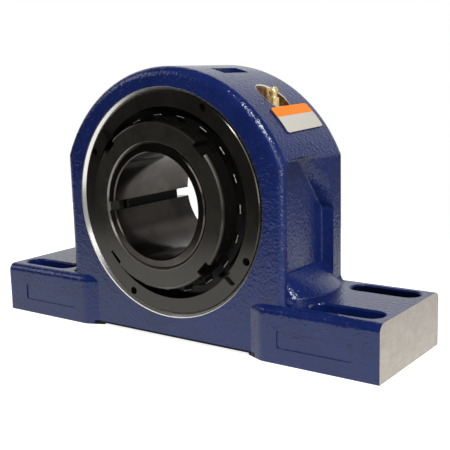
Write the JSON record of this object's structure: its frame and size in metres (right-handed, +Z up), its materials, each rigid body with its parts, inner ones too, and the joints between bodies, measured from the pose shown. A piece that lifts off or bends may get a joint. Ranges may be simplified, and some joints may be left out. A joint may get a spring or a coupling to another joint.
{
  "type": "housed bearing unit",
  "caption": "Pillow block bearing unit: blue cast housing with slotted feet, black threaded covers, and a locknut and tanged washer on a slit tapered sleeve for the shaft.",
  "frame": {"origin": "middle of the underside of the base, under the bearing's centre", "axes": "+X along the base, towards the foot nearer the grease fitting; +Y along the shaft, away from the locknut; +Z up"},
  "size_m": [0.332, 0.0989, 0.1935],
  "materials": {
    "blue_paint": "gloss",
    "black_steel": "satin",
    "sleeve_steel": "satin",
    "bearing_steel": "polished",
    "cage_steel": "satin",
    "nitrile": "matte",
    "yellow_zinc": "satin",
    "label_foil": "satin"
  },
  "bodies": {
    "housing": {"housing": "blue_paint", "front_cover": "black_steel", "rear_cover": "black_steel", "front_o_ring": "nitrile", "rear_o_ring": "nitrile", "outer_ring": "bearing_steel", "grease_fitting": "yellow_zinc", "check_spring": "bearing_steel", "label_plate": "label_foil"},
    "seals": {"front_seal": "nitrile", "rear_seal": "nitrile"},
    "shaft_set": {"inner_ring": "bearing_steel", "adapter_sleeve": "sleeve_steel", "lockwasher": "black_steel", "locknut": "black_steel"},
    "front_cage": {"front_cage": "cage_steel"},
    "rear_cage": {"rear_cage": "cage_steel"},
    "guide_ring": {"guide_ring": "bearing_steel"},
    "check_ball": {"check_ball": "bearing_steel"},
    "front_roller_01": {"front_roller_01": "bearing_steel"},
    "front_roller_02": {"front_roller_02": "bearing_steel"},
    "front_roller_03": {"front_roller_03": "bearing_steel"},
    "front_roller_04": {"front_roller_04": "bearing_steel"},
    "front_roller_05": {"front_roller_05": "bearing_steel"},
    "front_roller_06": {"front_roller_06": "bearing_steel"},
    "front_roller_07": {"front_roller_07": "bearing_steel"},
    "front_roller_08": {"front_roller_08": "bearing_steel"},
    "front_roller_09": {"front_roller_09": "bearing_steel"},
    "front_roller_10": {"front_roller_10": "bearing_steel"},
    "front_roller_11": {"front_roller_11": "bearing_steel"},
    "front_roller_12": {"front_roller_12": "bearing_steel"},
    "front_roller_13": {"front_roller_13": "bearing_steel"},
    "front_roller_14": {"front_roller_14": "bearing_steel"},
    "front_roller_15": {"front_roller_15": "bearing_steel"},
    "front_roller_16": {"front_roller_16": "bearing_steel"},
    "front_roller_17": {"front_roller_17": "bearing_steel"},
    "front_roller_18": {"front_roller_18": "bearing_steel"},
    "front_roller_19": {"front_roller_19": "bearing_steel"},
    "rear_roller_01": {"rear_roller_01": "bearing_steel"},
    "rear_roller_02": {"rear_roller_02": "bearing_steel"},
    "rear_roller_03": {"rear_roller_03": "bearing_steel"},
    "rear_roller_04": {"rear_roller_04": "bearing_steel"},
    "rear_roller_05": {"rear_roller_05": "bearing_steel"},
    "rear_roller_06": {"rear_roller_06": "bearing_steel"},
    "rear_roller_07": {"rear_roller_07": "bearing_steel"},
    "rear_roller_08": {"rear_roller_08": "bearing_steel"},
    "rear_roller_09": {"rear_roller_09": "bearing_steel"},
    "rear_roller_10": {"rear_roller_10": "bearing_steel"},
    "rear_roller_11": {"rear_roller_11": "bearing_steel"},
    "rear_roller_12": {"rear_roller_12": "bearing_steel"},
    "rear_roller_13": {"rear_roller_13": "bearing_steel"},
    "rear_roller_14": {"rear_roller_14": "bearing_steel"},
    "rear_roller_15": {"rear_roller_15": "bearing_steel"},
    "rear_roller_16": {"rear_roller_16": "bearing_steel"},
    "rear_roller_17": {"rear_roller_17": "bearing_steel"},
    "rear_roller_18": {"rear_roller_18": "bearing_steel"},
    "rear_roller_19": {"rear_roller_19": "bearing_steel"}
  },
  "joints": [
    {"name": "align_tilt", "type": "hinge", "parent": "housing", "child": "seals", "pos_m": [0, 0, 0.0984], "axis": [1, 0, 0], "range_deg": [-1.5, 1.5]},
    {"name": "shaft_turn", "type": "hinge", "parent": "seals", "child": "shaft_set", "pos_m": [0, 0, 0.0984], "axis": [0, 1, 0], "continuous": true},
    {"name": "front_cage_turn", "type": "hinge", "parent": "seals", "child": "front_cage", "pos_m": [0, 0, 0.0984], "axis": [0, 1, 0], "continuous": true},
    {"name": "rear_cage_turn", "type": "hinge", "parent": "seals", "child": "rear_cage", "pos_m": [0, 0, 0.0984], "axis": [0, 1, 0], "continuous": true},
    {"name": "guide_ring_turn", "type": "hinge", "parent": "seals", "child": "guide_ring", "pos_m": [0, 0, 0.0984], "axis": [0, 1, 0], "continuous": true},
    {"name": "front_roller_01_roll", "type": "hinge", "parent": "front_cage", "child": "front_roller_01", "pos_m": [0.05844, -0.00947, 0.0984], "axis": [0.1599, 0.9871, 0], "continuous": true},
    {"name": "front_roller_02_roll", "type": "hinge", "parent": "front_cage", "child": "front_roller_02", "pos_m": [0.05528, -0.00947, 0.11738], "axis": [0.1512, 0.9871, 0.0519], "continuous": true},
    {"name": "front_roller_03_roll", "type": "hinge", "parent": "front_cage", "child": "front_roller_03", "pos_m": [0.04612, -0.00947, 0.1343], "axis": [0.1262, 0.9871, 0.0982], "continuous": true},
    {"name": "front_roller_04_roll", "type": "hinge", "parent": "front_cage", "child": "front_roller_04", "pos_m": [0.03197, -0.00947, 0.14733], "axis": [0.0874, 0.9871, 0.1338], "continuous": true},
    {"name": "front_roller_05_roll", "type": "hinge", "parent": "front_cage", "child": "front_roller_05", "pos_m": [0.01435, -0.00947, 0.15506], "axis": [0.0392, 0.9871, 0.155], "continuous": true},
    {"name": "front_roller_06_roll", "type": "hinge", "parent": "front_cage", "child": "front_roller_06", "pos_m": [-0.00483, -0.00947, 0.15665], "axis": [-0.0132, 0.9871, 0.1593], "continuous": true},
    {"name": "front_roller_07_roll", "type": "hinge", "parent": "front_cage", "child": "front_roller_07", "pos_m": [-0.02348, -0.00947, 0.15192], "axis": [-0.0642, 0.9871, 0.1464], "continuous": true},
    {"name": "front_roller_08_roll", "type": "hinge", "parent": "front_cage", "child": "front_roller_08", "pos_m": [-0.03958, -0.00947, 0.1414], "axis": [-0.1083, 0.9871, 0.1176], "continuous": true},
    {"name": "front_roller_09_roll", "type": "hinge", "parent": "front_cage", "child": "front_roller_09", "pos_m": [-0.0514, -0.00947, 0.12622], "axis": [-0.1406, 0.9871, 0.0761], "continuous": true},
    {"name": "front_roller_10_roll", "type": "hinge", "parent": "front_cage", "child": "front_roller_10", "pos_m": [-0.05765, -0.00947, 0.10802], "axis": [-0.1577, 0.9871, 0.0263], "continuous": true},
    {"name": "front_roller_11_roll", "type": "hinge", "parent": "front_cage", "child": "front_roller_11", "pos_m": [-0.05765, -0.00947, 0.08878], "axis": [-0.1577, 0.9871, -0.0263], "continuous": true},
    {"name": "front_roller_12_roll", "type": "hinge", "parent": "front_cage", "child": "front_roller_12", "pos_m": [-0.0514, -0.00947, 0.07058], "axis": [-0.1406, 0.9871, -0.0761], "continuous": true},
    {"name": "front_roller_13_roll", "type": "hinge", "parent": "front_cage", "child": "front_roller_13", "pos_m": [-0.03958, -0.00947, 0.0554], "axis": [-0.1083, 0.9871, -0.1176], "continuous": true},
    {"name": "front_roller_14_roll", "type": "hinge", "parent": "front_cage", "child": "front_roller_14", "pos_m": [-0.02348, -0.00947, 0.04488], "axis": [-0.0642, 0.9871, -0.1464], "continuous": true},
    {"name": "front_roller_15_roll", "type": "hinge", "parent": "front_cage", "child": "front_roller_15", "pos_m": [-0.00483, -0.00947, 0.04016], "axis": [-0.0132, 0.9871, -0.1593], "continuous": true},
    {"name": "front_roller_16_roll", "type": "hinge", "parent": "front_cage", "child": "front_roller_16", "pos_m": [0.01435, -0.00947, 0.04174], "axis": [0.0392, 0.9871, -0.155], "continuous": true},
    {"name": "front_roller_17_roll", "type": "hinge", "parent": "front_cage", "child": "front_roller_17", "pos_m": [0.03197, -0.00947, 0.04947], "axis": [0.0874, 0.9871, -0.1338], "continuous": true},
    {"name": "front_roller_18_roll", "type": "hinge", "parent": "front_cage", "child": "front_roller_18", "pos_m": [0.04612, -0.00947, 0.0625], "axis": [0.1262, 0.9871, -0.0982], "continuous": true},
    {"name": "front_roller_19_roll", "type": "hinge", "parent": "front_cage", "child": "front_roller_19", "pos_m": [0.05528, -0.00947, 0.07942], "axis": [0.1512, 0.9871, -0.0519], "continuous": true},
    {"name": "rear_roller_01_roll", "type": "hinge", "parent": "rear_cage", "child": "rear_roller_01", "pos_m": [0.05765, 0.00947, 0.10802], "axis": [-0.1577, 0.9871, -0.0263], "continuous": true},
    {"name": "rear_roller_02_roll", "type": "hinge", "parent": "rear_cage", "child": "rear_roller_02", "pos_m": [0.0514, 0.00947, 0.12622], "axis": [-0.1406, 0.9871, -0.0761], "continuous": true},
    {"name": "rear_roller_03_roll", "type": "hinge", "parent": "rear_cage", "child": "rear_roller_03", "pos_m": [0.03958, 0.00947, 0.1414], "axis": [-0.1083, 0.9871, -0.1176], "continuous": true},
    {"name": "rear_roller_04_roll", "type": "hinge", "parent": "rear_cage", "child": "rear_roller_04", "pos_m": [0.02348, 0.00947, 0.15192], "axis": [-0.0642, 0.9871, -0.1464], "continuous": true},
    {"name": "rear_roller_05_roll", "type": "hinge", "parent": "rear_cage", "child": "rear_roller_05", "pos_m": [0.00483, 0.00947, 0.15665], "axis": [-0.0132, 0.9871, -0.1593], "continuous": true},
    {"name": "rear_roller_06_roll", "type": "hinge", "parent": "rear_cage", "child": "rear_roller_06", "pos_m": [-0.01435, 0.00947, 0.15506], "axis": [0.0392, 0.9871, -0.155], "continuous": true},
    {"name": "rear_roller_07_roll", "type": "hinge", "parent": "rear_cage", "child": "rear_roller_07", "pos_m": [-0.03197, 0.00947, 0.14733], "axis": [0.0874, 0.9871, -0.1338], "continuous": true},
    {"name": "rear_roller_08_roll", "type": "hinge", "parent": "rear_cage", "child": "rear_roller_08", "pos_m": [-0.04612, 0.00947, 0.1343], "axis": [0.1262, 0.9871, -0.0982], "continuous": true},
    {"name": "rear_roller_09_roll", "type": "hinge", "parent": "rear_cage", "child": "rear_roller_09", "pos_m": [-0.05528, 0.00947, 0.11738], "axis": [0.1512, 0.9871, -0.0519], "continuous": true},
    {"name": "rear_roller_10_roll", "type": "hinge", "parent": "rear_cage", "child": "rear_roller_10", "pos_m": [-0.05844, 0.00947, 0.0984], "axis": [0.1599, 0.9871, 0], "continuous": true},
    {"name": "rear_roller_11_roll", "type": "hinge", "parent": "rear_cage", "child": "rear_roller_11", "pos_m": [-0.05528, 0.00947, 0.07942], "axis": [0.1512, 0.9871, 0.0519], "continuous": true},
    {"name": "rear_roller_12_roll", "type": "hinge", "parent": "rear_cage", "child": "rear_roller_12", "pos_m": [-0.04612, 0.00947, 0.0625], "axis": [0.1262, 0.9871, 0.0982], "continuous": true},
    {"name": "rear_roller_13_roll", "type": "hinge", "parent": "rear_cage", "child": "rear_roller_13", "pos_m": [-0.03197, 0.00947, 0.04947], "axis": [0.0874, 0.9871, 0.1338], "continuous": true},
    {"name": "rear_roller_14_roll", "type": "hinge", "parent": "rear_cage", "child": "rear_roller_14", "pos_m": [-0.01435, 0.00947, 0.04174], "axis": [0.0392, 0.9871, 0.155], "continuous": true},
    {"name": "rear_roller_15_roll", "type": "hinge", "parent": "rear_cage", "child": "rear_roller_15", "pos_m": [0.00483, 0.00947, 0.04016], "axis": [-0.0132, 0.9871, 0.1593], "continuous": true},
    {"name": "rear_roller_16_roll", "type": "hinge", "parent": "rear_cage", "child": "rear_roller_16", "pos_m": [0.02348, 0.00947, 0.04488], "axis": [-0.0642, 0.9871, 0.1464], "continuous": true},
    {"name": "rear_roller_17_roll", "type": "hinge", "parent": "rear_cage", "child": "rear_roller_17", "pos_m": [0.03958, 0.00947, 0.0554], "axis": [-0.1083, 0.9871, 0.1176], "continuous": true},
    {"name": "rear_roller_18_roll", "type": "hinge", "parent": "rear_cage", "child": "rear_roller_18", "pos_m": [0.0514, 0.00947, 0.07058], "axis": [-0.1406, 0.9871, 0.0761], "continuous": true},
    {"name": "rear_roller_19_roll", "type": "hinge", "parent": "rear_cage", "child": "rear_roller_19", "pos_m": [0.05765, 0.00947, 0.08878], "axis": [-0.1577, 0.9871, 0.0263], "continuous": true},
    {"name": "check_ball_push", "type": "slide", "parent": "housing", "child": "check_ball", "axis": [0, 0, -1], "range_m": [0, 0.0012], "stiffness_N_per_m": 300, "deforming": ["check_spring"]}
  ],
  "couplings": [
    {"joint": "front_cage_turn", "follows": "shaft_turn", "ratio": 0.4324},
    {"joint": "rear_cage_turn", "follows": "shaft_turn", "ratio": 0.4324},
    {"joint": "guide_ring_turn", "follows": "shaft_turn", "ratio": 0.4324},
    {"joint": "front_roller_01_roll", "follows": "shaft_turn", "ratio": -3.5863},
    {"joint": "front_roller_02_roll", "follows": "shaft_turn", "ratio": -3.5863},
    {"joint": "front_roller_03_roll", "follows": "shaft_turn", "ratio": -3.5863},
    {"joint": "front_roller_04_roll", "follows": "shaft_turn", "ratio": -3.5863},
    {"joint": "front_roller_05_roll", "follows": "shaft_turn", "ratio": -3.5863},
    {"joint": "front_roller_06_roll", "follows": "shaft_turn", "ratio": -3.5863},
    {"joint": "front_roller_07_roll", "follows": "shaft_turn", "ratio": -3.5863},
    {"joint": "front_roller_08_roll", "follows": "shaft_turn", "ratio": -3.5863},
    {"joint": "front_roller_09_roll", "follows": "shaft_turn", "ratio": -3.5863},
    {"joint": "front_roller_10_roll", "follows": "shaft_turn", "ratio": -3.5863},
    {"joint": "front_roller_11_roll", "follows": "shaft_turn", "ratio": -3.5863},
    {"joint": "front_roller_12_roll", "follows": "shaft_turn", "ratio": -3.5863},
    {"joint": "front_roller_13_roll", "follows": "shaft_turn", "ratio": -3.5863},
    {"joint": "front_roller_14_roll", "follows": "shaft_turn", "ratio": -3.5863},
    {"joint": "front_roller_15_roll", "follows": "shaft_turn", "ratio": -3.5863},
    {"joint": "front_roller_16_roll", "follows": "shaft_turn", "ratio": -3.5863},
    {"joint": "front_roller_17_roll", "follows": "shaft_turn", "ratio": -3.5863},
    {"joint": "front_roller_18_roll", "follows": "shaft_turn", "ratio": -3.5863},
    {"joint": "front_roller_19_roll", "follows": "shaft_turn", "ratio": -3.5863},
    {"joint": "rear_roller_01_roll", "follows": "shaft_turn", "ratio": -3.5863},
    {"joint": "rear_roller_02_roll", "follows": "shaft_turn", "ratio": -3.5863},
    {"joint": "rear_roller_03_roll", "follows": "shaft_turn", "ratio": -3.5863},
    {"joint": "rear_roller_04_roll", "follows": "shaft_turn", "ratio": -3.5863},
    {"joint": "rear_roller_05_roll", "follows": "shaft_turn", "ratio": -3.5863},
    {"joint": "rear_roller_06_roll", "follows": "shaft_turn", "ratio": -3.5863},
    {"joint": "rear_roller_07_roll", "follows": "shaft_turn", "ratio": -3.5863},
    {"joint": "rear_roller_08_roll", "follows": "shaft_turn", "ratio": -3.5863},
    {"joint": "rear_roller_09_roll", "follows": "shaft_turn", "ratio": -3.5863},
    {"joint": "rear_roller_10_roll", "follows": "shaft_turn", "ratio": -3.5863},
    {"joint": "rear_roller_11_roll", "follows": "shaft_turn", "ratio": -3.5863},
    {"joint": "rear_roller_12_roll", "follows": "shaft_turn", "ratio": -3.5863},
    {"joint": "rear_roller_13_roll", "follows": "shaft_turn", "ratio": -3.5863},
    {"joint": "rear_roller_14_roll", "follows": "shaft_turn", "ratio": -3.5863},
    {"joint": "rear_roller_15_roll", "follows": "shaft_turn", "ratio": -3.5863},
    {"joint": "rear_roller_16_roll", "follows": "shaft_turn", "ratio": -3.5863},
    {"joint": "rear_roller_17_roll", "follows": "shaft_turn", "ratio": -3.5863},
    {"joint": "rear_roller_18_roll", "follows": "shaft_turn", "ratio": -3.5863},
    {"joint": "rear_roller_19_roll", "follows": "shaft_turn", "ratio": -3.5863}
  ]
}
